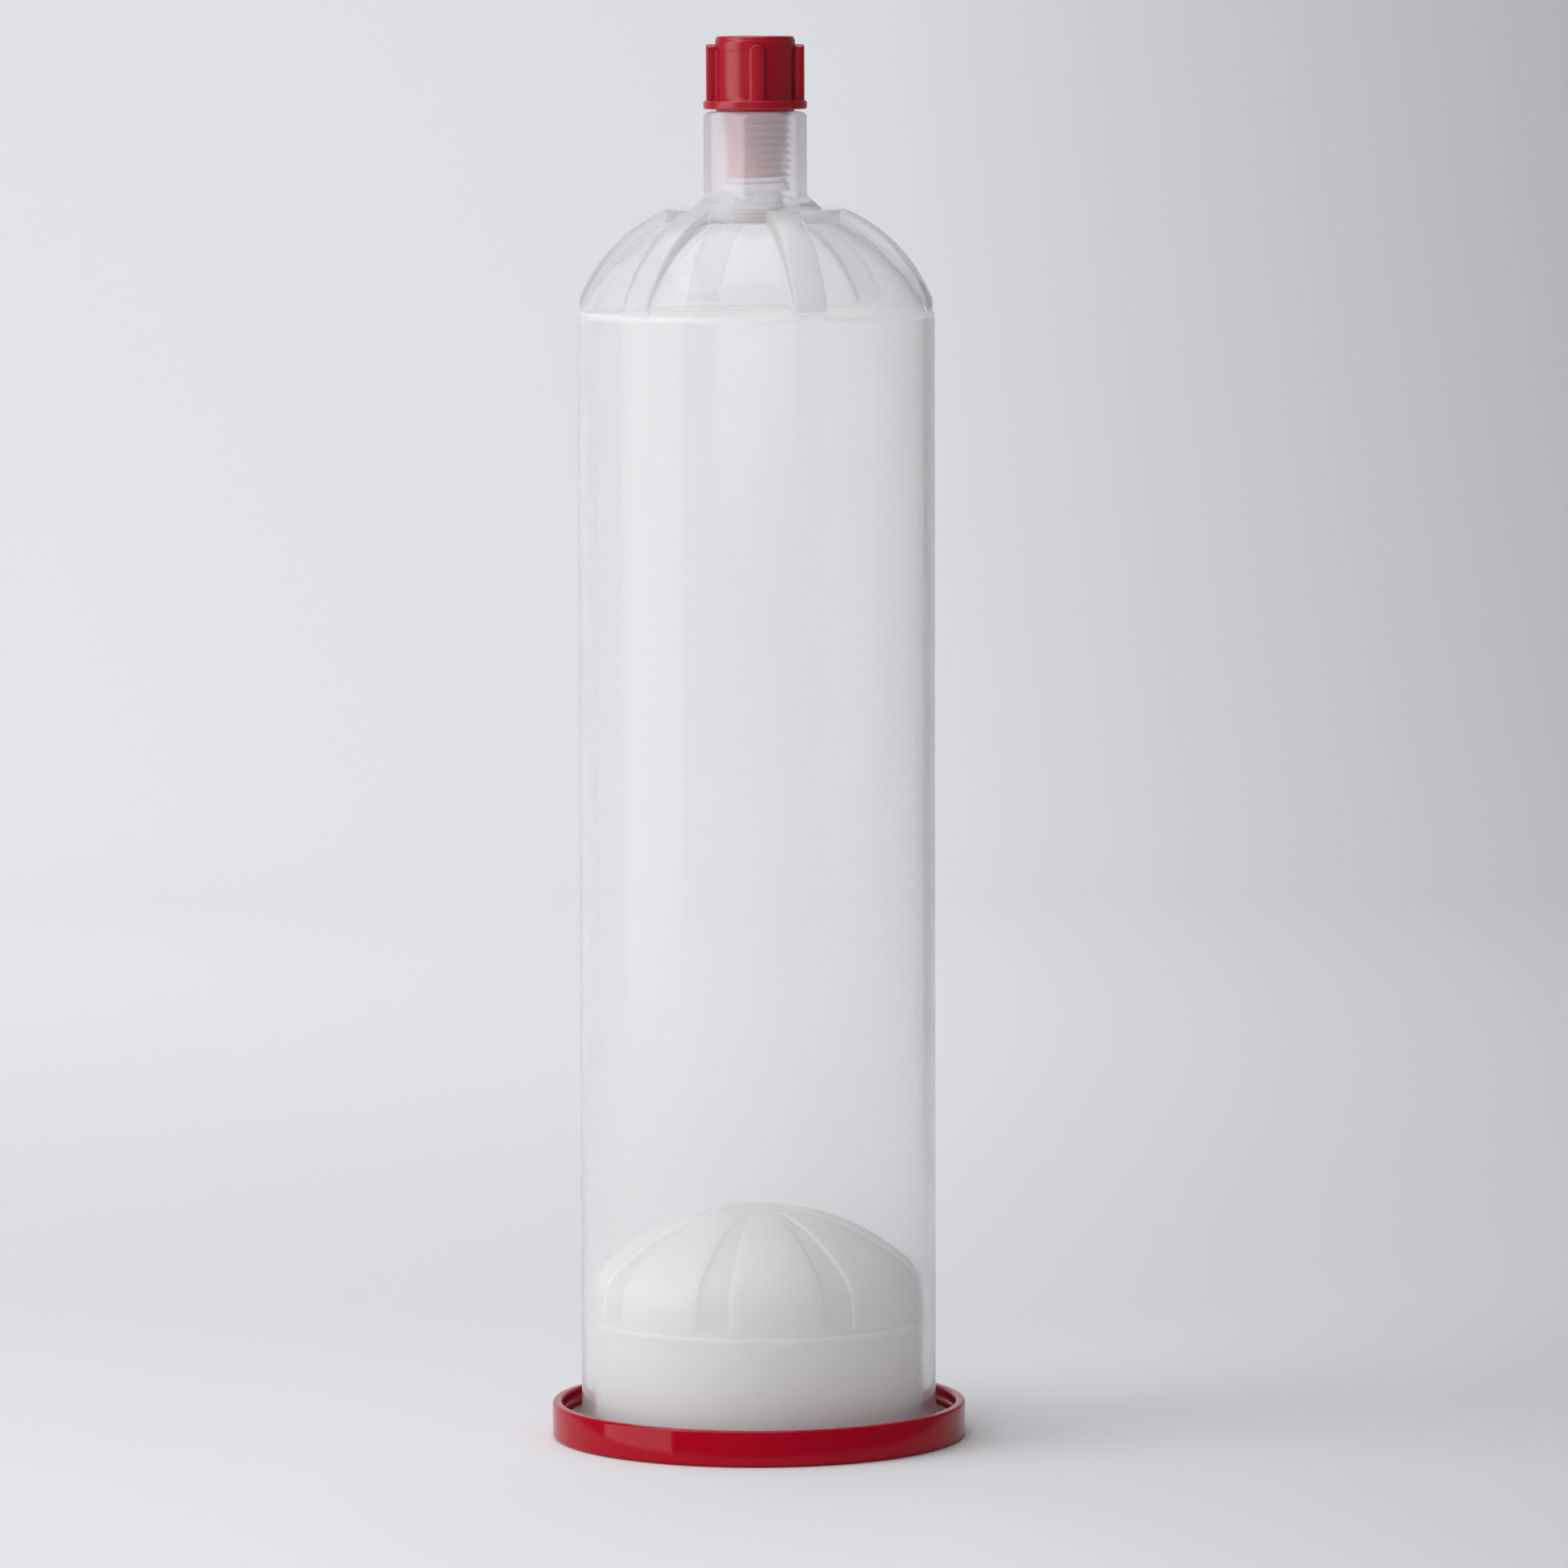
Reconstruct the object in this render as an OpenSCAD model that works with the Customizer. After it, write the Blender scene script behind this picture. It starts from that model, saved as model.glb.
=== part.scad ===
// Dispensing cartridge: a translucent barrel with a ribbed domed nose, a domed plunger,
// a screw plug in the neck and an end cap that it stands on. Millimetres, +Z up.

/* [Barrel] */
// Outside diameter of the barrel wall
barrel_d = 68; // [56:1:80]
// Thickness of the barrel wall
barrel_wall = 2; // [1.4:0.1:2.6]
// Length from the underside of the flange to the shoulder
barrel_len = 213.7; // [150:0.1:260]
// How far the flange stands out from the barrel wall
flange_reach = 3.4; // [2.6:0.1:5]
// Thickness of the flange at its edge
flange_t = 2; // [1.4:0.1:3]
// Radius of the fillet between the flange and the barrel wall
flange_fillet = 3; // [1:0.1:3.4]

/* [Nose] */
// Height from the shoulder to the top of the collar
nose_h = 19.9; // [19:0.1:23]
// Height of the crown that the spherical panels would reach on the axis
panel_rise = 21.6; // [20.5:0.1:23]
// Thickness of the nose wall behind the panels
nose_wall = 1.8; // [1.2:0.1:2.4]
// Number of ribs on the nose
rib_count = 6; // [4:1:8]
// Width of each rib
rib_w = 6.3; // [4:0.1:9]
// Radius of the arc along the back of each rib
rib_arc_r = 31.1; // [29:0.1:36]
// Ledge at the foot of each rib, inside the barrel wall
rib_ledge = 0.15; // [0.1:0.05:0.5]
// Diameter of the collar where the ribs meet
collar_d = 34.2; // [31:0.1:38]

/* [Neck] */
// Width of the hexagon across its flats
neck_flats = 18.1; // [17:0.1:22]
// Height from the collar to the top of the neck
neck_h = 18.5; // [16:0.1:24]
// Radius of the rounding over the top corners of the hexagon
neck_round = 3; // [2:0.1:4]
// Diameter of the cone at the foot of the neck
cone_d = 25.4; // [24:0.1:29]
// Height of the cone at the foot of the neck
cone_h = 3.3; // [2:0.1:5]
// Diameter at the roots of the inside thread, at the mouth
thread_d = 13.8; // [13:0.1:14.2]
// Depth of the threaded part of the neck
thread_depth = 15; // [13:0.1:17]
// Diameter of the passage below the thread
passage_d = 9.8; // [8:0.1:10.4]

/* [Plunger] */
// Height of the skirt up to the wiper line
skirt_h = 21.2; // [14:0.1:30]
// Thickness of the plunger wall
plunger_wall = 2; // [1.4:0.1:2.6]
// How far the wipers stand out from the skirt
wiper_reach = 0.5; // [0.3:0.1:0.8]
// Height of each wiper
wiper_h = 1.8; // [1:0.1:3]
// Height of the crown above the wiper line
crown_h = 20.4; // [18:0.1:23]
// Diameter of the flat on the crown
crown_d = 17; // [12:0.5:22]
// Radius of the sphere over the plunger
dome_r = 44; // [42:0.5:50]
// Radius of the turn from the sphere to the side
knuckle_r = 8; // [5:0.5:10]
// Number of shallow grooves down the plunger
groove_count = 8; // [4:1:10]
// Angle that each groove covers
groove_angle = 11.5; // [6:0.5:20]
// Depth of the grooves
groove_t = 0.4; // [0.2:0.1:0.8]
// Angle of the plunger about the axis
plunger_turn = 11; // [-22:1:22]

/* [Plug] */
// Diameter of the plug's head
head_d = 14.9; // [14:0.1:16]
// Height of the head above the flange
head_h = 12.1; // [9:0.1:16]
// Number of grips on the head
grip_count = 4; // [3:1:6]
// Width of each grip
grip_w = 2.4; // [1.6:0.1:3]
// Diameter over the grips
grip_d = 18.7; // [17.5:0.1:20]
// How far the grips stop below the top of the head
grip_drop = 1.5; // [1:0.1:3]
// Diameter of the plug's flange
plug_flange_d = 19.7; // [18.9:0.1:22]
// Thickness of the plug's flange
plug_flange_t = 1.7; // [1:0.1:2.5]
// Height of the seat under the flange
seat_h = 0.4; // [0.3:0.1:1]
// Diameter of the threaded shank at the roots, under the seat
shank_d = 11.5; // [11:0.1:12.2]
// Length of the threaded part of the shank
shank_thread = 8.2; // [6:0.1:10]
// Length of the plain tip
tip_len = 3.6; // [2.5:0.1:5]
// Width and depth of the relief between thread and tip
relief = 0.8; // [0.5:0.1:1]
// Thickness of the wall round the plug's hollow
plug_wall = 1.6; // [1.2:0.1:2]
// Angle at which the plug comes tight
plug_turn = -15; // [-45:1:45]

/* [End cap] */
// Thickness of the rim round the flange
rim_t = 1.85; // [1.2:0.05:2.5]
// Height of the end cap
cap_h = 6.9; // [6:0.1:10]
// Thickness of the floor
cap_floor = 1.6; // [1.2:0.1:2.5]
// Radius of the snap bead inside the rim
bead_r = 0.7; // [0.5:0.05:0.9]
// Radius on the lower edge of the cap
cap_edge = 0.8; // [0.4:0.1:1.2]

/* [Fits] */
// Running clearance between the wipers and the bore
wiper_gap = 0.05; // [0.02:0.01:0.1]
// Clearance between the flange and the rim of the cap
rim_gap = 0.4; // [0.3:0.05:0.6]
// Clearance between the flange and the snap bead
bead_gap = 0.06; // [0.05:0.01:0.1]
// Clearance between the plunger and the floor of the cap
floor_gap = 0.5; // [0.3:0.1:1]

/* [Hidden] */
$fn = 144;

// Overlap that lets joined and cut solids pass each other
eps = 0.2;
// Narrowing of the neck's taper pipe thread, in radius over length
taper = 1 / 32;
// Rounding of small edges
edge_r = 0.5;

// Barrel
barrel_r = barrel_d / 2;
bore_r = barrel_r - barrel_wall;
flange_r = barrel_r + flange_reach;
fillet_r = min(flange_fillet, flange_reach - edge_r / 2);
barrel_z = cap_floor;
flange_top = barrel_z + flange_t;
shoulder_z = barrel_z + barrel_len;
collar_z = shoulder_z + nose_h;
neck_z = collar_z + neck_h;

// Nose: the panels are one sphere through the edge of the shoulder
panel_r = (barrel_r * barrel_r + panel_rise * panel_rise) / (2 * panel_rise);
panel_z = shoulder_z + panel_rise - panel_r;
hollow_r = panel_r - nose_wall;
hollow_z = panel_z + sqrt(hollow_r * hollow_r - bore_r * bore_r);
collar_r = collar_d / 2;
rib_foot_r = barrel_r - rib_ledge;
// The arc's centre lies a radius from both ends of its chord, on the side of the axis
rib_chord = [rib_foot_r - collar_r, rib_foot_h() - nose_h];
rib_half = norm(rib_chord) / 2;
rib_back = sqrt(rib_arc_r * rib_arc_r - rib_half * rib_half) / norm(rib_chord);
rib_centre = [(rib_foot_r + collar_r) / 2 + rib_chord[1] * rib_back,
              (rib_foot_h() + nose_h) / 2 - rib_chord[0] * rib_back];

// Plunger
plunger_z = cap_floor + floor_gap;
wiper_r = bore_r - wiper_gap;
skirt_r = wiper_r - wiper_reach;
wiper_z = plunger_z + skirt_h;
crown_z = wiper_z + crown_h;
crown_r = crown_d / 2;
dome_z = crown_z - sqrt(dome_r * dome_r - crown_r * crown_r);
knuckle_x = skirt_r - knuckle_r;
knuckle_z = dome_z + sqrt(pow(dome_r - knuckle_r, 2) - knuckle_x * knuckle_x);

// Plug
seat_z = neck_z;
plug_flange_z = seat_z + seat_h;
head_z = plug_flange_z + plug_flange_t;
plug_top = head_z + head_h;
shank_r = shank_d / 2;
thread_end = seat_z - shank_thread;
relief_end = thread_end - relief;
tip_z = relief_end - tip_len;
tip_r = shank_r - taper * (shank_thread + relief);
relief_r = tip_r - relief / 2;

// End cap
rim_in = flange_r + rim_gap;
cap_r = rim_in + rim_t;
bead_z = flange_top + bead_r;

// Height above the shoulder at which the back of a rib turns into its foot
function rib_foot_h() = nose_h / 7;

// A disc of radius r from z0 to z1
module disc(r, z0, z1) {
  translate([0, 0, z0]) cylinder(r = r, h = z1 - z0);
}

// A disc from z0 to z1 whose radius goes from r0 to r1
module taper_disc(r0, r1, z0, z1) {
  translate([0, 0, z0]) cylinder(r1 = r0, r2 = r1, h = z1 - z0);
}

// Half section of a disc with its upper and lower edges rounded
module round_section(r, z0, z1, low, high) {
  translate([0, z0]) square([r - low, z1 - z0]);
  translate([0, z0 + low]) square([r, z1 - z0 - low - high]);
  translate([0, z0]) square([r - high, z1 - z0]);
  translate([r - low, z0 + low]) circle(low);
  translate([r - high, z1 - high]) circle(high);
}

// Barrel

// Half section of the flange, with the fillet that carries it into the wall
module flange_section() {
  round_section(flange_r, barrel_z, flange_top, edge_r, edge_r);
  difference() {
    translate([0, flange_top - eps]) square([barrel_r + fillet_r, fillet_r + eps]);
    translate([barrel_r + fillet_r, flange_top + fillet_r]) circle(fillet_r);
  }
}

// Half section that the backs of the ribs follow, from the collar down to the shoulder
module rib_section() {
  translate([0, shoulder_z - eps]) square([rib_foot_r, rib_foot_h() + eps]);
  intersection() {
    translate([rib_centre[0], shoulder_z + rib_centre[1]]) circle(rib_arc_r);
    translate([0, shoulder_z]) square([rib_foot_r, nose_h]);
  }
}

// Spherical panels, and ribs of even width that stand on them
module nose() {
  intersection() {
    translate([0, 0, panel_z]) sphere(panel_r);
    disc(barrel_r, shoulder_z - eps, collar_z);
  }
  intersection() {
    rotate_extrude() rib_section();
    for (i = [0 : rib_count - 1])
      rotate(90 + 360 * i / rib_count)
        translate([0, -rib_w / 2, shoulder_z - eps]) cube([barrel_r, rib_w, nose_h + eps]);
  }
  disc(collar_r, collar_z - nose_h / 3, collar_z);
}

// Hexagon with its top corners rounded over like a nut's, on a cone
module neck() {
  hex_r = neck_flats / 2 / cos(30);
  round_x = hex_r + neck_round / 6 - neck_round;
  intersection() {
    translate([0, 0, collar_z - eps]) cylinder(r = hex_r, h = neck_h + eps, $fn = 6);
    rotate_extrude() {
      translate([0, collar_z - eps]) square([round_x + neck_round, neck_h + eps - neck_round]);
      translate([0, neck_z - neck_round]) square([round_x, neck_round]);
      translate([round_x, neck_z - neck_round]) circle(neck_round);
    }
  }
  taper_disc(cone_d / 2, neck_flats / 2, collar_z, collar_z + cone_h);
}

// Everything that is empty inside the barrel: bore, domed nose, passage and threaded mouth
module barrel_hollow() {
  disc(bore_r, barrel_z - eps, hollow_z);
  intersection() {
    translate([0, 0, panel_z]) sphere(hollow_r);
    disc(bore_r, hollow_z - eps, collar_z);
  }
  disc(passage_d / 2, collar_z - nose_h / 2, neck_z - thread_depth + eps);
  taper_disc(thread_d / 2 - taper * thread_depth, thread_d / 2 + taper * eps,
             neck_z - thread_depth, neck_z + eps);
}

module barrel() color("white", 0.4) difference() {
  union() {
    rotate_extrude() flange_section();
    disc(barrel_r, barrel_z + edge_r, shoulder_z);
    nose();
    neck();
  }
  barrel_hollow();
}

// Plunger

// Half section of the dome, grown inwards by t: a sphere that turns down into the side
module dome_section(t) {
  translate([0, wiper_z - eps]) square([skirt_r - t, knuckle_z - wiper_z + eps]);
  intersection() {
    translate([0, dome_z]) circle(dome_r - t);
    translate([0, dome_z]) polygon([[0, 0], 2 * [knuckle_x, knuckle_z - dome_z], [0, 2 * dome_r]]);
    translate([0, knuckle_z]) square([skirt_r, crown_z - t - knuckle_z]);
  }
  intersection() {
    translate([knuckle_x, knuckle_z]) circle(knuckle_r - t);
    translate([0, knuckle_z - eps]) square([skirt_r, crown_h]);
  }
}

// Half section of the skirt, with a wiper round its foot and one at the wiper line
module skirt_section() {
  polygon([[0, plunger_z], [wiper_r, plunger_z], [wiper_r, plunger_z + wiper_h / 3],
           [skirt_r, plunger_z + wiper_h], [skirt_r, wiper_z - wiper_h],
           [wiper_r, wiper_z - wiper_h / 3], [wiper_r, wiper_z], [0, wiper_z]]);
}

// Wedges that run from the crown's flat down to the wiper line, the first one centred on
// the plunger's own angle
module grooves() {
  for (i = [0 : groove_count - 1])
    rotate(plunger_turn + 360 * i / groove_count - groove_angle / 2)
      rotate_extrude(angle = groove_angle) difference() {
        translate([crown_r, wiper_z]) square([bore_r - crown_r, crown_h]);
        dome_section(groove_t);
      }
}

module plunger() color("white") difference() {
  rotate_extrude() {
    skirt_section();
    dome_section(0);
  }
  rotate_extrude() {
    translate([0, plunger_z - eps]) square([skirt_r - plunger_wall, skirt_h + eps]);
    dome_section(plunger_wall);
  }
  grooves();
}

// Plug

// One grip: its top is round from the front, and its top outer corner from the side
module grip() {
  reach = grip_d / 2;
  top = plug_top - grip_drop;
  intersection() {
    rotate([90, 0, 0]) translate([0, 0, -grip_w / 2]) linear_extrude(grip_w) {
      translate([0, head_z - eps]) square([reach, top - edge_r - head_z + eps]);
      translate([0, head_z - eps]) square([reach - edge_r, top - head_z + eps]);
      translate([reach - edge_r, top - edge_r]) circle(edge_r);
    }
    rotate([90, 0, 90]) linear_extrude(reach) {
      translate([-grip_w / 2, head_z - eps]) square([grip_w, top - grip_w / 2 - head_z + eps]);
      translate([0, top - grip_w / 2]) circle(grip_w / 2);
    }
  }
}

// Threaded part at the thread's roots, relief and plain tip
module shank() {
  taper_disc(shank_r - taper * shank_thread, shank_r, thread_end, seat_z + eps);
  disc(relief_r, relief_end - eps, thread_end + eps);
  rotate_extrude() round_section(tip_r, tip_z, relief_end, edge_r, edge_r / 2);
}

// Hollow from the top of the head down into the shank
module plug_hollow() {
  disc(head_d / 2 - plug_wall, head_z, plug_top + eps);
  disc(relief_r - plug_wall, tip_z + plug_wall, head_z + eps);
}

module tip_plug() color("crimson") difference() {
  union() {
    rotate_extrude() round_section(head_d / 2, head_z - eps, plug_top, edge_r / 2, edge_r);
    rotate_extrude() round_section(plug_flange_d / 2, plug_flange_z, head_z, edge_r / 2, edge_r);
    disc(head_d / 2, seat_z, plug_flange_z + eps);
    for (i = [0 : grip_count - 1]) rotate(plug_turn - 90 + 360 * i / grip_count) grip();
    shank();
  }
  plug_hollow();
}

// End cap

// Half section of the cup, with the snap bead standing in from its rim
module cap_section() {
  difference() {
    round_section(cap_r, 0, cap_h, cap_edge, edge_r);
    translate([0, cap_floor]) square([rim_in, cap_h]);
  }
  intersection() {
    translate([flange_r + bead_gap + bead_r, bead_z]) circle(bead_r);
    translate([0, cap_floor]) square([rim_in + eps, cap_h]);
  }
}

module end_cap() color("crimson") rotate_extrude() cap_section();

end_cap();
barrel();
plunger();
tip_plug();
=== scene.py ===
"""A dispensing cartridge: translucent barrel, domed plunger, red neck plug and red end cap."""

import bmesh
import bpy
import numpy as np
from mathutils import Euler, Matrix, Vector


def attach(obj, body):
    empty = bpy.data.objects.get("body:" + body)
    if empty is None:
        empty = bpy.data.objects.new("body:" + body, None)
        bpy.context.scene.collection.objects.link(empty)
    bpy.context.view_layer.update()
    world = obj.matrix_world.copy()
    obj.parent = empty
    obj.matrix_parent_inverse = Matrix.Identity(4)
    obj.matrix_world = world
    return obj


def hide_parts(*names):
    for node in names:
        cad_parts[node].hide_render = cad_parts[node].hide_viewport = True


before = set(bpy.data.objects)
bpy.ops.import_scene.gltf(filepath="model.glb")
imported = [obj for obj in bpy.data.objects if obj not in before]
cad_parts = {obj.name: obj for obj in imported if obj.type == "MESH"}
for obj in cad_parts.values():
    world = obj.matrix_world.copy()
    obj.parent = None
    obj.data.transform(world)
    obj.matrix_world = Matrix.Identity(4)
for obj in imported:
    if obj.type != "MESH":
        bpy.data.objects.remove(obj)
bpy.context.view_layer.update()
scene = bpy.context.scene
scene.view_settings.view_transform = "Standard"


# End cap: a shallow cup moulded in glossy red polyethylene. Its rim snaps over the
# barrel's flange with a low bead, and the whole cartridge stands on its flat underside.


def rounded(corners, steps=5):
    """Half section through corners (r, z, radius): each corner is replaced by the arc of that
    radius that touches both its sides, so the arc's centre lies on the corner's bisector."""
    pts = np.array([c[:2] for c in corners], float)
    radii = np.array([c[2] for c in corners], float)
    out = [pts[:1]]
    for p, corner, n, rad in zip(pts[:-2], pts[1:-1], pts[2:], radii[1:-1]):
        a, b = (p - corner) / np.linalg.norm(p - corner), (n - corner) / np.linalg.norm(n - corner)
        half = np.arccos(np.clip(a @ b, -1, 1)) / 2
        nearly_straight = half > 1.56
        if rad <= 0 or nearly_straight:
            out.append(corner[None])
            continue
        centre = corner + (a + b) / np.linalg.norm(a + b) * rad / np.sin(half)
        start = corner + a * rad / np.tan(half) - centre
        end = corner + b * rad / np.tan(half) - centre
        t = np.linspace(0, 1, steps)[:, None]
        arc = start * (1 - t) + end * t
        out.append(centre + arc / np.linalg.norm(arc, axis=1, keepdims=True) * rad)
    return np.vstack(out + [pts[-1:]])


def skin(name, r, z, phi, loop):
    """Mesh over a grid of rows and columns: each point is (r cos phi, r sin phi, z) in
    millimetres. Columns close round the axis, rows close on themselves where loop is set,
    and points that meet on the axis are merged into one pole."""
    r, z, phi = np.broadcast_arrays(r, z, phi)
    rows, cols = r.shape
    co = np.stack([r * np.cos(phi), r * np.sin(phi), z], -1).reshape(-1, 3) * 0.001
    i = np.arange(rows if loop else rows - 1)[:, None]
    j = np.arange(cols)[None]
    up, on = (i + 1) % rows, (j + 1) % cols
    corners = i * cols + j, i * cols + on, up * cols + on, up * cols + j
    quads = np.stack(np.broadcast_arrays(*corners), -1).reshape(-1, 4)
    mesh = bpy.data.meshes.new(name)
    mesh.vertices.add(len(co))
    mesh.vertices.foreach_set("co", co.ravel())
    mesh.loops.add(quads.size)
    mesh.loops.foreach_set("vertex_index", quads.ravel().astype(np.int32))
    mesh.polygons.add(len(quads))
    mesh.polygons.foreach_set("loop_start", np.arange(0, quads.size, 4, dtype=np.int32))
    mesh.update(calc_edges=True)
    work = bmesh.new()
    work.from_mesh(mesh)
    bmesh.ops.remove_doubles(work, verts=work.verts, dist=2e-7)
    work.to_mesh(mesh)
    work.free()
    mesh.polygons.foreach_set("use_smooth", np.ones(len(mesh.polygons), bool))
    piece = bpy.data.objects.new(name, mesh)
    scene.collection.objects.link(piece)
    return piece


def moulded_group():
    """Node group: roughness that drifts slowly over a moulding, and a fine skin that a Bump
    reads, both from noise on Object coordinates."""
    tree = bpy.data.node_groups.new("moulded_skin", "ShaderNodeTree")
    face = tree.interface
    for name, usual in (
        ("Roughness", 0.3),
        ("Drift", 0.05),
        ("Patch size", 60.0),
        ("Skin size", 900.0),
    ):
        socket = face.new_socket(name, in_out="INPUT", socket_type="NodeSocketFloat")
        socket.default_value = usual
    face.new_socket("Roughness", in_out="OUTPUT", socket_type="NodeSocketFloat")
    face.new_socket("Skin", in_out="OUTPUT", socket_type="NodeSocketFloat")
    nodes, links = tree.nodes, tree.links
    given, made = nodes.new("NodeGroupInput"), nodes.new("NodeGroupOutput")
    place = nodes.new("ShaderNodeTexCoord")
    patch, fine = nodes.new("ShaderNodeTexNoise"), nodes.new("ShaderNodeTexNoise")
    patch.inputs["Detail"].default_value = 3.0
    fine.inputs["Detail"].default_value = 2.0
    centred, drift = nodes.new("ShaderNodeMath"), nodes.new("ShaderNodeMath")
    centred.operation, drift.operation = "SUBTRACT", "MULTIPLY_ADD"
    centred.inputs[1].default_value = 0.5
    for noise, size in ((patch, "Patch size"), (fine, "Skin size")):
        links.new(place.outputs["Object"], noise.inputs["Vector"])
        links.new(given.outputs[size], noise.inputs["Scale"])
    links.new(patch.outputs["Fac"], centred.inputs[0])
    links.new(centred.outputs[0], drift.inputs[0])
    links.new(given.outputs["Drift"], drift.inputs[1])
    links.new(given.outputs["Roughness"], drift.inputs[2])
    links.new(drift.outputs[0], made.inputs["Roughness"])
    links.new(fine.outputs["Fac"], made.inputs["Skin"])
    return tree


def moulded(name, skin_group, rough, drift, patch, fine, bump):
    """Material of a moulding: a Principled BSDF whose roughness, drifting over patches, and
    fine bump come from the moulded_skin group. Returns the material and its shader."""
    mat = bpy.data.materials.new(name)
    mat.use_nodes = True
    nodes, links = mat.node_tree.nodes, mat.node_tree.links
    shader = nodes["Principled BSDF"]
    grain, relief = nodes.new("ShaderNodeGroup"), nodes.new("ShaderNodeBump")
    grain.node_tree = skin_group
    for socket, value in (
        ("Roughness", rough),
        ("Drift", drift),
        ("Patch size", patch),
        ("Skin size", fine),
    ):
        grain.inputs[socket].default_value = value
    relief.inputs["Strength"].default_value = bump
    relief.inputs["Distance"].default_value = 0.0002
    links.new(grain.outputs["Roughness"], shader.inputs["Roughness"])
    links.new(grain.outputs["Skin"], relief.inputs["Height"])
    links.new(relief.outputs["Normal"], shader.inputs["Normal"])
    return mat, shader


moulded_skin = moulded_group()
glossy_red, shader = moulded("glossy_red", moulded_skin, 0.08, 0.04, 55, 700, 0.04)
shader.inputs["Base Color"].default_value = (0.335, 0.0, 0.01, 1)
shader.inputs["Specular IOR Level"].default_value = 0.17

# The rim is drafted a few degrees in its shading only: a bump that falls away with height
# turns its gloss up from the floor to the soft box.
rim_draft = 0.11
nodes, links = glossy_red.node_tree.nodes, glossy_red.node_tree.links
place, axes, fall, draft = (
    nodes.new("ShaderNode" + kind) for kind in ("TexCoord", "SeparateXYZ", "Math", "Bump")
)
fall.operation = "MULTIPLY"
fall.inputs[1].default_value = -rim_draft
draft.inputs["Distance"].default_value = 1.0
links.new(place.outputs["Object"], axes.inputs[0])
links.new(axes.outputs["Z"], fall.inputs[0])
links.new(fall.outputs[0], draft.inputs["Height"])
links.new(draft.outputs["Normal"], nodes["Bump"].inputs["Normal"])

cap_r, cap_h, cap_floor, rim_in = 39.65, 6.9, 1.6, 37.8
bead_in, bead_z, bead_r, bead_reach = 37.46, 4.3, 0.7, 0.9
cap_low = rounded(
    [
        (0, 0, 0),
        (cap_r, 0, 0.8),
        (cap_r, cap_h, 0.55),
        (rim_in, cap_h, 0.5),
        (rim_in, bead_z + bead_reach, 0),
    ],
    7,
)
turn = np.linspace(0.54 * np.pi, -0.54 * np.pi, 11) + np.pi
bead_x = bead_in + bead_r + bead_r * np.cos(turn)
bead = np.stack([np.minimum(bead_x, rim_in), bead_z - bead_r * np.sin(turn)], 1)
cap_in = rounded([(rim_in, bead_z - bead_reach, 0), (rim_in, cap_floor, 0.4), (0, cap_floor, 0)])
section = np.vstack([cap_low, bead, cap_in])
round_cap = np.linspace(0, 2 * np.pi, 240, endpoint=False)[None]
cap = skin("cap_cup", section[:, :1], section[:, 1:], round_cap, False)
cap.data.materials.append(glossy_red)
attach(cap, "end_cap")
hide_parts("end_cap")


# Barrel: one translucent polyethylene moulding. A flange runs into the plain wall with a
# fillet, six straight ribs stand on the spherical nose and meet in a flat collar, and a
# cone carries the hexagonal neck with its taper pipe thread inside.

barrel_z = cap_floor
barrel_r, bore_r, flange_r, flange_top = 34.0, 32.0, 37.4, 3.6
shoulder, nose_h, panel_rise, nose_wall = 215.3, 19.9, 21.6, 1.8
rib_count, rib_w, rib_arc, rib_foot_r, collar_r = 6, 6.3, 31.1, 33.85, 17.1
rib_edge, rib_cove, foot_share = 0.45, 0.6, 1 / 7
neck_half, neck_h, neck_round, cone_r, cone_h = 9.05, 18.5, 3.0, 12.7, 3.3
corner_cut, corner_power, lip_r, lip_out = 0.06, 60.0, 7.2, 7.9
pitch, taper, mouth_r, thread_depth, passage_r, ridge = 1.411, 1 / 32, 6.9, 15.0, 4.9, 0.95
panel_r = (barrel_r**2 + panel_rise**2) / (2 * panel_rise)
centre_z = shoulder + panel_rise - panel_r
ring_z = shoulder + nose_h
neck_z = ring_z + neck_h


def wave(u):
    """Triangle wave between 0 and 1 with period 1, its peak at half a period."""
    return 1 - np.abs(2 * (u % 1) - 1)


def ease(t):
    """Smooth step from 0 to 1 with level ends: 3t^2 - 2t^3."""
    t = np.clip(t, 0, 1)
    return t * t * (3 - 2 * t)


def rib_backs(angle):
    """Distance of a rib's back from the sphere's centre along the ray at this angle from the
    axis: the nearer of the ray's meeting with the rib's arc and with its upright foot."""
    foot_h = nose_h * foot_share
    chord = np.array([rib_foot_r - collar_r, foot_h - nose_h])
    back = np.sqrt(rib_arc**2 - (chord @ chord) / 4) / np.linalg.norm(chord)
    arc_r = (rib_foot_r + collar_r) / 2 + chord[1] * back
    arc_z = shoulder + (foot_h + nose_h) / 2 - chord[0] * back - centre_z
    along = arc_r * np.sin(angle) + arc_z * np.cos(angle)
    reach = along + np.sqrt(along**2 - (arc_r**2 + arc_z**2 - rib_arc**2))
    return np.minimum(reach, rib_foot_r / np.sin(angle))


def sector(halves, count):
    """Columns right round the axis from half a sector's angles: the half, its mirror image
    past the sector's middle, and that repeated count times."""
    width = 2 * np.pi / count
    one = np.concatenate([halves, width - halves[:, -2:0:-1]], 1)
    return np.concatenate([one + k * width for k in range(count)], 1)


def repeat(halves, count):
    """Values right round the axis for the columns that sector lays out."""
    return np.concatenate([np.concatenate([halves, halves[:, -2:0:-1]], 1)] * count, 1)


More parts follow.
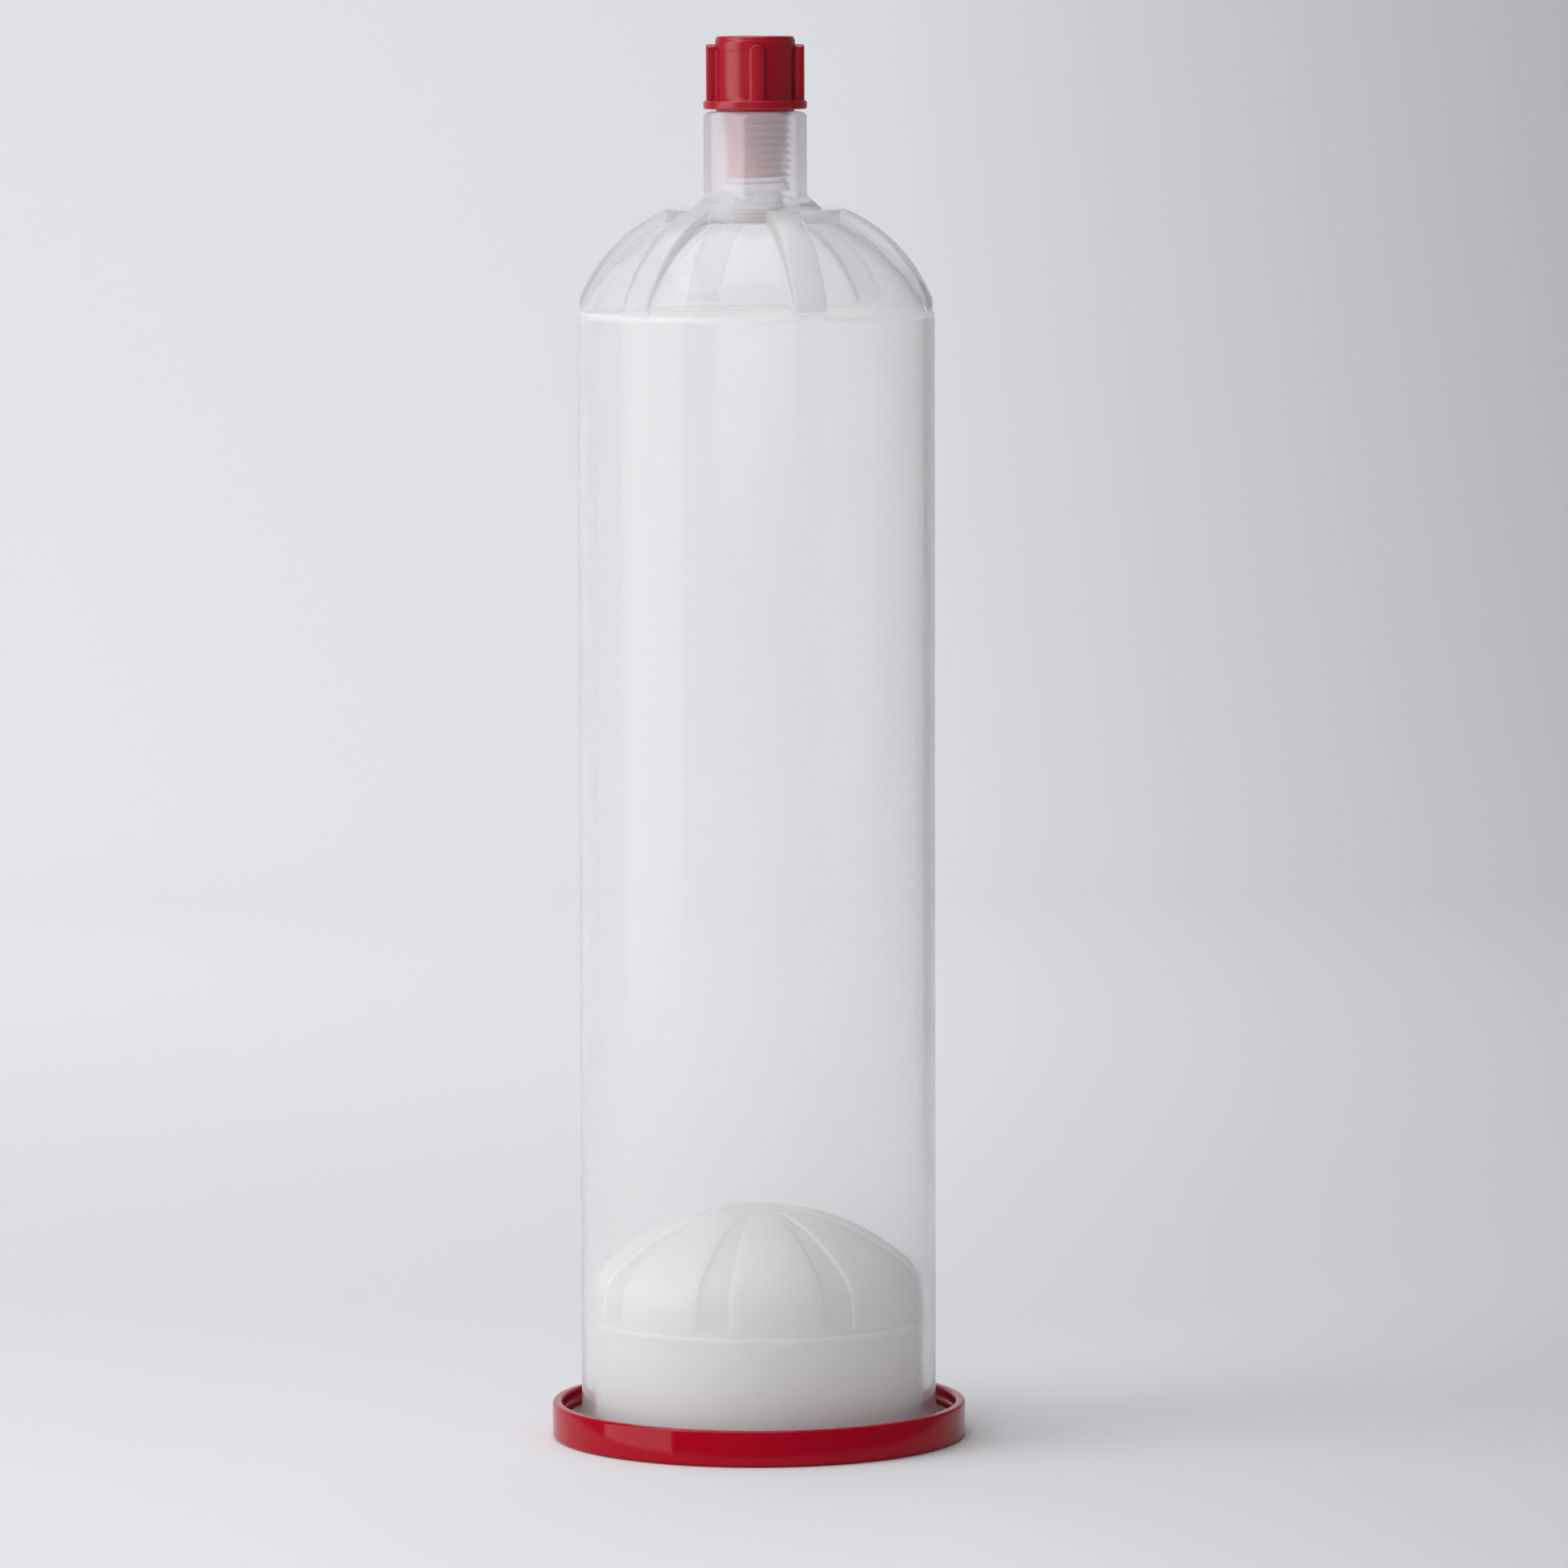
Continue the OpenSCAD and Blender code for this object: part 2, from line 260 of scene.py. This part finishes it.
# Half a sector of the nose is crossed from the middle of a rib: 3 columns on its flat back,
# 5 on its rounded edge, 1 on its upright side, 5 on the cove at its foot, then 14 on the
# panel as far as the middle between two ribs. Each row below says how far a column goes
# sideways (y) or up (h), in shares of the edge's radius, the cove's and the rib's height.
bend = np.linspace(0, np.pi / 2, 5)
flat_back = np.array([0, 0.4, 0.75])
panel_part = np.linspace(0, 1, 15)[1:]
edge_y = np.concatenate([-np.ones(3), np.sin(bend) - 1, np.zeros(20)])
cove_y = np.concatenate([np.zeros(9), 1 - np.cos(bend), np.ones(14)])
edge_h = np.concatenate([np.zeros(3), np.cos(bend) - 1, [-0.5], np.zeros(19)])
cove_h = np.concatenate([np.zeros(8), [0.5], 1 - np.sin(bend), np.zeros(14)])
full_h = np.concatenate([np.ones(8), [0.5], np.zeros(19)])
back_y = np.concatenate([flat_back, np.ones(25)])
panel_v = np.concatenate([np.zeros(14), panel_part])

ring_angle = np.arctan2(collar_r, ring_z - centre_z)
foot_angle = np.arcsin(collar_r / panel_r)
angle = np.concatenate(
    [
        np.linspace(np.arctan2(barrel_r, shoulder - centre_z), foot_angle + 0.012, 36),
        foot_angle + np.array([0.006, 0.001, -0.003, -0.008]),
        np.linspace(foot_angle - 0.015, ring_angle, 5),
    ]
)[:, None]
panel = np.maximum(panel_r, collar_r / np.sin(angle))
rise = np.maximum(rib_backs(angle) - panel, 0)
small = np.minimum(1, rise / (rib_edge + rib_cove))
spread = np.maximum(small, 0.4)
height = rise * full_h + small * (rib_edge * edge_h + rib_cove * cove_h)
dome_r = (panel + height) * np.sin(angle)
dome_z = centre_z + (panel + height) * np.cos(angle)
side = rib_w / 2 + spread * (rib_edge * edge_y + rib_cove * cove_y)
side = np.where(back_y < 1, (rib_w / 2 - spread * rib_edge) * back_y, side)
lean = np.arcsin(side / dome_r)
half_turn = np.pi / rib_count
dome_phi = sector(lean + panel_v * (half_turn - lean), rib_count)
dome_r, dome_z = repeat(dome_r, rib_count), repeat(dome_z, rib_count)
columns = dome_phi.shape[1]

wall = rounded(
    [
        (bore_r, barrel_z, 0),
        (flange_r, barrel_z, 0.5),
        (flange_r, flange_top, 0.5),
        (barrel_r, flange_top, 3.0),
        (barrel_r, 60, 0),
    ],
    7,
)
upper_wall = [[barrel_r, h] for h in (110, 160, 205, shoulder - 0.7, shoulder - 0.2)]
wall = np.vstack([[[bore_r + 0.3, barrel_z]], wall[1:], upper_wall])

# Neck: a hexagon whose corners are eased by a high-power mean with a circle. The cone runs
# up to its faces, so it ends lower at the corners, and the rounding over the top starts
# where the hexagon's radius meets it.
halves = np.linspace(0, half_turn, lean.shape[1])[None]
neck_phi = sector(halves, rib_count)
hexagon = repeat(neck_half / np.cos(halves), rib_count)
corner_r = neck_half / np.cos(half_turn)
hexagon = hexagon**-corner_power + (corner_r - corner_cut) ** -corner_power
hexagon = np.minimum(hexagon ** (-1 / corner_power), corner_r)
round_x = corner_r + neck_round / 6 - neck_round
cone_end = (cone_r - hexagon) * cone_h / (cone_r - neck_half)
start = np.arccos((hexagon - round_x) / neck_round)
round_start = neck_z - neck_round + neck_round * np.sin(start)
t = np.array([0.0, 0.03, 0.5, 0.94, 1.0])[:, None]
cone = cone_r + (hexagon - cone_r) * t, ring_z + cone_end * t
t = np.array([0.02, 0.06, 0.35, 0.65, 0.94, 0.99])[:, None]
faces = hexagon + 0 * t, ring_z + cone_end + (round_start - ring_z - cone_end) * t
t = np.linspace(0, 1, 10)[:, None]
over = start + (np.pi / 2 - start) * t
crown = round_x + neck_round * np.cos(over), neck_z - neck_round + neck_round * np.sin(over)
ring_r = np.array([collar_r - 0.1, collar_r - 0.3, 15.4, cone_r + 0.4, cone_r + 0.1])[:, None]
ring_t = np.array([0.0, 0.0, 0.5, 1.0, 1.0])[:, None]
ring_rise = np.array([-0.03, 0, 0, 0, 0.01])[:, None]
ring = ring_r + 0 * neck_phi, ring_z + ring_rise + 0 * neck_phi
ring_phi = dome_phi[-1:] * (1 - ring_t) + neck_phi * ring_t

# Inside: the lip, the helical thread on its taper, the passage, the hollow of the nose
# and the bore down to the flange.
lip = rounded(
    [
        (lip_out, neck_z, 0),
        (lip_r, neck_z, 0.1),
        (mouth_r, neck_z - 0.3, 0.1),
        (mouth_r, neck_z - 0.5, 0),
    ],
    3,
)
depth = np.linspace(0.55, thread_depth - 0.1, 124)[:, None]
cut = ridge * ease((depth - 0.5) / 0.9) * ease((thread_depth - 0.4 - depth) / 1.2)
helix = (neck_z - depth) / pitch - neck_phi / (2 * np.pi)
thread_r = mouth_r - taper * depth - cut * wave(helix)
thread_z = neck_z - depth + 0 * neck_phi
hollow_r = panel_r - nose_wall
last = np.arcsin(bore_r / hollow_r)
first = np.arcsin(passage_r / hollow_r)
ledge_r = mouth_r - taper * thread_depth
ledge = rounded(
    [
        (ledge_r, neck_z - thread_depth + 0.05, 0),
        (ledge_r, neck_z - thread_depth, 0.05),
        (passage_r, neck_z - thread_depth, 0.2),
        (passage_r, centre_z + hollow_r * np.cos(first), 0),
    ],
    4,
)
hollow_rows = 26
polar = np.linspace(first, last, hollow_rows)
hollow = np.stack([hollow_r * np.sin(polar), centre_z + hollow_r * np.cos(polar)], 1)
hollow_t = np.linspace(0, 1, hollow_rows)[:, None]
bore_rows = (shoulder - 0.3, 205, 160, 110, 60, 30, 10, barrel_z + 0.6, barrel_z + 0.3)
bore = np.vstack([[[bore_r, h] for h in bore_rows], [[bore_r + 0.1, barrel_z + 0.08]]])


def plain(path, columns):
    """A turned stretch: the section's radii and heights, the same in every column."""
    return path[:, :1] + np.zeros(columns), path[:, 1:] + np.zeros(columns)


stretches = [
    (*plain(wall, columns), dome_phi[:1]),
    (dome_r, dome_z, dome_phi),
    (*ring, ring_phi),
    (*cone, neck_phi),
    (*faces, neck_phi),
    (*crown, neck_phi),
    (*plain(lip, columns), neck_phi),
    (thread_r, thread_z, neck_phi),
    (*plain(ledge, columns), neck_phi),
    (*plain(hollow, columns), neck_phi + (dome_phi[:1] - neck_phi) * hollow_t),
    (*plain(bore, columns), dome_phi[:1]),
]
grid = [np.vstack([s[k] + np.zeros_like(s[0]) for s in stretches]) for k in range(3)]
barrel = skin("barrel_shell", grid[0], grid[1], grid[2] - np.pi / 2, True)


def let_through(mat, shader, soft, hard):
    """Let light fall through a thin translucent wall on to what is inside: a ray that carries
    soft light passes straight through the soft share of it, and a shadow ray the hard share."""
    nodes, links = mat.node_tree.nodes, mat.node_tree.links
    ray, both = nodes.new("ShaderNodeLightPath"), nodes.new("ShaderNodeMath")
    both.operation = "MINIMUM"
    for slot, (kind, share) in enumerate((("Is Diffuse Ray", soft), ("Is Shadow Ray", hard))):
        part = nodes.new("ShaderNodeMath")
        part.operation = "MULTIPLY_ADD"
        part.inputs[1].default_value, part.inputs[2].default_value = -share, 1.0
        links.new(ray.outputs[kind], part.inputs[0])
        links.new(part.outputs[0], both.inputs[slot])
    links.new(both.outputs[0], shader.inputs["Alpha"])


def frosted(name, colour, bend, rough, clear, deep, reach):
    """Translucent polyethylene: a clear share of the light bends through it, and the deep share
    of the rest scatters below the surface, further through the wall the longer its reach."""
    mat, shader = moulded(name, moulded_skin, rough, 0.008, 70, 500, 0.012)
    shader.inputs["Base Color"].default_value = (*colour, 1)
    shader.inputs["IOR"].default_value = bend
    shader.inputs["Transmission Weight"].default_value = clear
    shader.inputs["Subsurface Weight"].default_value = deep
    shader.inputs["Subsurface Radius"].default_value = (1, 1, 1)
    shader.inputs["Subsurface Scale"].default_value = reach
    shader.inputs["Subsurface Anisotropy"].default_value = 0.3
    shader.inputs["Coat Weight"].default_value = 0.14
    shader.inputs["Coat Roughness"].default_value = 0.08
    let_through(mat, shader, 0.95, 0.78)
    return mat


# The thin wall and the nose's panels are the clearest, then come the thick ribs with their
# collar and cone, and the neck. The flange is the milkiest. A narrow band at the shoulder is
# milky and warm white as a painted highlight for the bright line along the shoulder.
# Each row: colour, index of refraction, roughness, clear, deep and reach.
for name, *finish in (
    ("frosted_wall", (0.99, 0.99, 0.99), 1.12, 0.1, 0.83, 0.3, 0.8),
    ("frosted_panel", (0.962, 0.962, 0.966), 1.1, 0.1, 0.83, 0.3, 0.8),
    ("frosted_rib", (0.74, 0.74, 0.75), 1.1, 0.1, 0.67, 0.5, 0.02),
    ("frosted_neck", (0.86, 0.84, 0.87), 1.08, 0.2, 0.66, 0.3, 0.03),
    ("frosted_flange", (0.95, 0.95, 0.955), 1.1, 0.1, 0.45, 0.5, 0.2),
    # Painted highlight: a milkier, warm white band that draws the bright line at the shoulder.
    ("frosted_painted_highlight", (0.99, 0.985, 0.97), 1.1, 0.1, 0.4, 0.5, 0.2),
):
    barrel.data.materials.append(frosted(name, *finish))

# A face takes its finish from its height, and on the nose it belongs to a rib where it
# stands off the sphere.
wall_slot, panel_slot, rib_slot, neck_slot, flange_slot, highlight_slot = range(6)
levels = [flange_top + 0.6, shoulder, ring_z - 2.2, ring_z + 2]
highlight_half, rib_stand = 0.6, 0.4
mid = np.empty(3 * len(barrel.data.polygons))
barrel.data.polygons.foreach_get("center", mid)
mid = mid.reshape(-1, 3) * 1000
upwards = np.array([flange_slot, wall_slot, panel_slot, rib_slot, neck_slot])
zone = upwards[np.searchsorted(levels, mid[:, 2])]
# Faces close to the shoulder's line take the milkier, warm white painted highlight.
zone[np.abs(mid[:, 2] - shoulder) < highlight_half] = highlight_slot
off_sphere = np.linalg.norm(mid - [0, 0, centre_z], axis=1) - panel_r
zone[(zone == panel_slot) & (off_sphere > rib_stand)] = rib_slot
barrel.data.polygons.foreach_set("material_index", zone.astype(np.int32))
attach(barrel, "barrel")
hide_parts("barrel")


# Plunger: a white polyethylene cup with a domed front and eight shallow grooves. A wiper
# round its foot and one at the base of the dome run in the bore.

plunger_z, wiper_z, crown_z, crown_r = 2.1, 23.3, 43.7, 8.5
wiper_r, skirt_r, plunger_wall, wiper_h = 31.95, 31.45, 2.0, 1.8
sphere_r, knuckle_r, groove_deep, groove_half, groove_count = 44.0, 8.0, 0.4, 5.75, 8
plunger_turn = np.radians(11)
sphere_z = crown_z - np.sqrt(sphere_r**2 - crown_r**2)
knuckle_x = skirt_r - knuckle_r
knuckle_z = sphere_z + np.sqrt((sphere_r - knuckle_r) ** 2 - knuckle_x**2)
tangent = np.arctan2(knuckle_x, knuckle_z - sphere_z)


def dome_line(inset, flat_r, steps):
    """Section of the dome from its side up to the flat on top, inset by a wall: the knuckle's
    arc from the upright, then the sphere's arc as far as the flat's radius."""
    k = np.linspace(0, np.pi / 2 - tangent, steps)
    s = np.linspace(tangent, np.arcsin(flat_r / (sphere_r - inset)), 2 * steps)[1:]
    small, large = knuckle_r - inset, sphere_r - inset
    turn_in = [knuckle_x + small * np.cos(k), knuckle_z + small * np.sin(k)]
    over_top = [large * np.sin(s), sphere_z + large * np.cos(s)]
    return np.hstack([turn_in, over_top]).T


inner = dome_line(plunger_wall, crown_r, 8)[::-1]
outer = dome_line(0, crown_r + 1.2, 14)
inner_top = crown_z - plunger_wall
skirt = rounded(
    [
        (skirt_r - plunger_wall, wiper_z, 0),
        (skirt_r - plunger_wall, plunger_z, 0.2),
        (wiper_r, plunger_z, 0.2),
        (wiper_r, plunger_z + wiper_h / 3, 0.2),
        (skirt_r, plunger_z + wiper_h, 0.4),
        (skirt_r, wiper_z - wiper_h, 0.4),
        (wiper_r, wiper_z - wiper_h / 3, 0.2),
        (wiper_r, wiper_z, 0.2),
        (skirt_r, wiper_z, 0.15),
        (skirt_r, wiper_z + 0.3, 0),
    ],
    4,
)
dome_foot = np.stack([np.full(7, skirt_r), np.linspace(wiper_z + 0.45, knuckle_z - 0.2, 7)], 1)
crown_edge = rounded([tuple(outer[-1]) + (0,), (crown_r, crown_z, 1.6), (4, crown_z, 0)], 7)
top = np.vstack([crown_edge[1:], [[0, crown_z]]])
section = np.vstack([[[0, inner_top], [4, inner_top]], inner, skirt, dome_foot, outer, top])

# The grooves run from the flat on top down to the wiper, sunk along the section's normal
# and faded in at both ends. Their sides slope over a degree of turn.
edge = np.array([-0.45, -0.25, 0, 0.25, 0.45])
halves = np.concatenate([[0, 1.8, 3.6], groove_half + edge, np.linspace(7.2, 22.5, 12)])[None]
fall = np.concatenate([np.ones(3), ease(0.5 - edge / 0.9), np.zeros(12)])[None]
plunger_phi = sector(np.radians(halves), groove_count)
groove = repeat(fall, groove_count)
grooved = len(section) - len(dome_foot) - len(outer) - len(top)
sunk = np.zeros((len(section), 1))
from_wiper, from_flat = section[grooved:, 1:] - wiper_z, section[grooved:, :1] - crown_r
sunk[grooved:] = groove_deep * ease((from_wiper - 0.4) / 1.2) * ease((from_flat + 1) / 2.5)
slope = np.gradient(section, axis=0)
slope /= np.linalg.norm(slope, axis=1, keepdims=True)
r = section[:, :1] - sunk * groove * slope[:, 1:]
z = section[:, 1:] + sunk * groove * slope[:, :1]
plunger = skin("plunger_cup", r, z, plunger_phi + plunger_turn, False)

white_plastic, shader = moulded("white_plastic", moulded_skin, 0.5, 0.1, 90, 800, 0.06)
shader.inputs["Base Color"].default_value = (0.74, 0.74, 0.75, 1)
shader.inputs["IOR"].default_value = 1.5
shader.inputs["Subsurface Weight"].default_value = 1.0
shader.inputs["Subsurface Radius"].default_value = (1.1, 1.0, 1.0)
shader.inputs["Subsurface Scale"].default_value = 0.012
let_through(white_plastic, shader, 0.5, 0.55)
plunger.data.materials.append(white_plastic)
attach(plunger, "plunger")
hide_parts("plunger")


# Plug: the red screw plug that closes the neck. Its hollow head has four grips for the
# fingers, its flange covers the neck and its shank carries a taper pipe thread.

head_r, grip_r, grip_w, grip_count, grip_edge = 7.45, 9.35, 2.4, 4, 0.45
seat_z = neck_z
flange_z = seat_z + 0.4
head_z = flange_z + 1.7
head_top = head_z + 12.1
grip_top = head_top - 1.5
plug_flange_r, shank_r, thread_len, tip_z, tip_r = 9.85, 5.75, 8.2, 241.1, 5.47
relief_z, relief_r, plug_wall = 244.7, 5.07, 1.6
thread_end = seat_z - thread_len
plug_turn = np.radians(-105)

# Half a sector of the head is crossed from the middle of a grip, with columns close
# together where its side stands up from the round head.
half_w, far_off = grip_w / 2, 9.0
grip_y = np.array([0, 0.35, 0.62, 0.82, 0.96, 1.06, 1.13, 1.17, 1.2, 1.25, 1.36])
open_phi = np.linspace(0.24, np.pi / grip_count, 10)
plug_phi = sector(np.concatenate([np.arcsin(grip_y / head_r), open_phi])[None], grip_count)
beside = np.concatenate([grip_y, np.full(len(open_phi), far_off)])
beside = repeat(beside[None], grip_count)

shank_tip = rounded(
    [
        (0, tip_z, 0),
        (tip_r, tip_z, 0.5),
        (tip_r, relief_z, 0.25),
        (relief_r, relief_z, 0.15),
        (relief_r, thread_end - 0.1, 0),
    ]
)
climb = np.linspace(thread_end, seat_z - 0.3, 84)[:, None]
cut = ridge * ease((climb - thread_end + 0.2) / 1.4) * ease((seat_z - 0.2 - climb) / 1.0)
helix = climb / pitch - plug_phi / (2 * np.pi) + 0.5
male_r = shank_r - taper * (seat_z - climb) + cut * wave(helix)
collar = rounded(
    [
        (shank_r, seat_z - 0.25, 0),
        (shank_r, seat_z, 0.1),
        (head_r, seat_z, 0.12),
        (head_r, flange_z, 0.1),
        (plug_flange_r, flange_z, 0.35),
        (plug_flange_r, head_z, 0.5),
        (head_r + 0.4, head_z, 0),
    ],
    5,
)

# The grips' outline is upright with a round top: inside is the distance in from it, and the
# rows bend along the round top so that it comes out smooth.
arch = grip_top - half_w + np.sqrt(np.clip(half_w**2 - beside**2, 0, None))
closing = 1 - np.geomspace(0.1, 0.0008, 14)
up_to = np.concatenate([[0, 0.01, 0.03], np.linspace(0.15, 0.85, 5), closing, [1]])[:, None]
past = np.array([0.04, 0.12, 0.3, 0.6, 1.0])[:, None]
head_h = np.vstack([head_z + (arch - head_z) * up_to, arch + (head_top - 0.7 - arch) * past])
inside = half_w - np.hypot(beside, np.clip(head_h - grip_top + half_w, 0, None))
inside[len(up_to) - 1 :] = 0
edge_arc = np.sqrt(1 - (1 - np.clip(inside / grip_edge, 0, 1)) ** 2)
stand = (grip_r - head_r - grip_edge) * ease(inside / 0.07) + grip_edge * edge_arc
foot_cove = 0.25 * (1 - ease((head_h - head_z) / 0.5)) ** 2
grip_cove = 0.15 * np.clip(1 - np.abs(inside) / 0.15, 0, 1) ** 2
head = head_r + np.where(inside > 0.004, stand, foot_cove + grip_cove), head_h
plug_hollow = rounded(
    [
        (head_r, head_top - 0.65, 0),
        (head_r, head_top, 0.5),
        (head_r - plug_wall, head_top, 0.4),
        (head_r - plug_wall, head_z, 0.3),
        (relief_r - plug_wall, head_z, 0.3),
        (relief_r - plug_wall, tip_z + plug_wall, 0.4),
        (0, tip_z + plug_wall, 0),
    ],
    5,
)
columns = plug_phi.shape[1]
stretches = [
    plain(shank_tip, columns),
    (male_r, climb + 0 * plug_phi),
    plain(collar, columns),
    head,
    plain(plug_hollow, columns),
]
grid = [np.vstack([s[k] for s in stretches]) for k in range(2)]
plug = skin("plug_screw", grid[0], grid[1], plug_phi + plug_turn, False)

satin_red, shader = moulded("satin_red", moulded_skin, 0.28, 0.08, 120, 900, 0.06)
shader.inputs["Base Color"].default_value = (0.32, 0.0, 0.01, 1)
shader.inputs["Specular IOR Level"].default_value = 0.45
plug.data.materials.append(satin_red)
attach(plug, "tip_plug")
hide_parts("tip_plug")


# Studio: a pale seamless sweep of paper, bent up behind in a quarter circle. A tall soft box
# on the left shows its edge in the gloss, one hangs overhead, one washes the paper behind,
# a weak one fills from the front, and the world fills from all round.

view_turn, camera_away = np.radians(-17.9), 1.719
toward = np.array([-np.sin(view_turn), np.cos(view_turn)])
right = np.array([np.cos(view_turn), np.sin(view_turn)])
floor_end, sweep_r, sweep_half = 1.0, 0.9, 3.5
back = floor_end + sweep_r
quarter = np.linspace(0.05, np.pi / 2, 16)
floor_run = np.linspace(-3.0, floor_end, 9)
run = np.concatenate([floor_run, floor_end + sweep_r * np.sin(quarter), [back, back]])
lift = np.concatenate([0 * floor_run, sweep_r - sweep_r * np.cos(quarter), [1.6, 3.2]])
across = np.linspace(-sweep_half, sweep_half, 15)
wide = len(across)
co = np.stack([np.tile(across, len(run)), np.repeat(run, wide), np.repeat(lift, wide)], 1)
i, j = np.arange(len(run) - 1)[:, None], np.arange(wide - 1)[None]
quads = i * wide + j, i * wide + j + 1, (i + 1) * wide + j + 1, (i + 1) * wide + j
quads = np.stack(quads, -1).reshape(-1, 4)
mesh = bpy.data.meshes.new("sweep")
mesh.from_pydata(co.tolist(), [], quads.tolist())
mesh.polygons.foreach_set("use_smooth", np.ones(len(quads), bool))
sweep = bpy.data.objects.new("sweep", mesh)
sweep.rotation_euler = (0, 0, view_turn)
scene.collection.objects.link(sweep)

# The paper's colour carries painted shade: darker to the right, away from the soft box on the
# left, and darker towards the front. Each ramp runs from the first place to the second, in
# metres, with its shade at both.
paper_shade_ramps = (("X", 0.033, 0.331, 1.0, 0.661), ("Y", 0.151, 1.135, 0.738, 0.836))
paper, shader = moulded("sweep_paper", moulded_skin, 0.9, 0.05, 3, 60, 0.0)
nodes, links = paper.node_tree.nodes, paper.node_tree.links
place, axes, painted_shade = (
    nodes.new("ShaderNode" + kind) for kind in ("TexCoord", "SeparateXYZ", "Math")
)
links.new(place.outputs["Object"], axes.inputs[0])
painted_shade.operation = "MULTIPLY"
for slot, (axis, *values) in enumerate(paper_shade_ramps):
    ramp = nodes.new("ShaderNodeMapRange")
    links.new(axes.outputs[axis], ramp.inputs["Value"])
    for socket, value in zip(("From Min", "From Max", "To Min", "To Max"), values):
        ramp.inputs[socket].default_value = value
    links.new(ramp.outputs["Result"], painted_shade.inputs[slot])
tint = nodes.new("ShaderNodeCombineColor")
for socket, share in (("Red", 0.985), ("Green", 0.99), ("Blue", 1.02)):
    scale = nodes.new("ShaderNodeMath")
    scale.operation = "MULTIPLY"
    scale.inputs[1].default_value = share
    links.new(painted_shade.outputs[0], scale.inputs[0])
    links.new(scale.outputs[0], tint.inputs[socket])
links.new(tint.outputs["Color"], shader.inputs["Base Color"])
sweep.data.materials.append(paper)


def soft_box(name, place, aim, size, power):
    """Area lamp of the given width and height at place, turned to face aim."""
    lamp = bpy.data.lights.new(name, "AREA")
    lamp.shape, lamp.size, lamp.size_y, lamp.energy = "RECTANGLE", *size, power
    box = bpy.data.objects.new(name, lamp)
    box.location = place
    box.rotation_euler = (Vector(aim) - Vector(place)).to_track_quat("-Z", "Y").to_euler()
    scene.collection.objects.link(box)
    return box


def placed(az, dist, height):
    """Point at this distance and height, az degrees to the right of the camera's own side."""
    a = view_turn + np.radians(az)
    return (dist * np.sin(a), -dist * np.cos(a), height)


def seen(across, away, height):
    """Point to the right of the axis and further back than it, as the camera faces it."""
    return Vector((*(across * right + away * toward), height))


side_wall = seen(-0.8, -0.333, 0.9)
soft_box("left_wall", side_wall, side_wall + seen(1, 0, 0), (0.75, 1.8), 10.2)
soft_box("top_panel", seen(-0.3, 0.2, 1.7), seen(0, 0.2, 0), (1.3, 1.3), 16)
soft_box("back_wash", seen(-0.75, 0.7, 0.9), seen(-0.6, 1.606, 0.48), (1.6, 0.6), 5.6)

# The front fill stays out of the gloss, where it would show as a second highlight.
front = soft_box("front_fill", placed(-13, 1.4, 0.4), (0, 0, 0.14), (0.7, 0.6), 7.0)
front.visible_glossy = False
world = bpy.data.worlds.new("studio")
scene.world = world
world.use_nodes = True
fill = world.node_tree.nodes["Background"].inputs
fill["Color"].default_value = (0.95, 0.97, 1.0, 1)
fill["Strength"].default_value = 0.2


# Camera: long lens at the photograph's height and distance, tilted down and turned a little.
# Its focal length is known in pixels of the square frame.

frame_px, focal_px, camera_h = 1932, 11133, 0.2819
lens = bpy.data.cameras.new("camera")
lens.sensor_width = 36.0
lens.lens = lens.sensor_width * focal_px / frame_px
lens.clip_end = 20
camera = bpy.data.objects.new("camera", lens)
camera.location = placed(0, camera_away, camera_h)
tilt, pan, roll = np.radians([5.199, 0.171, -0.153])
facing = Euler((np.pi / 2 - tilt, 0, view_turn - pan), "XYZ").to_matrix()
camera.rotation_euler = (facing @ Euler((0, 0, roll), "XYZ").to_matrix()).to_euler()
scene.collection.objects.link(camera)
scene.camera = camera
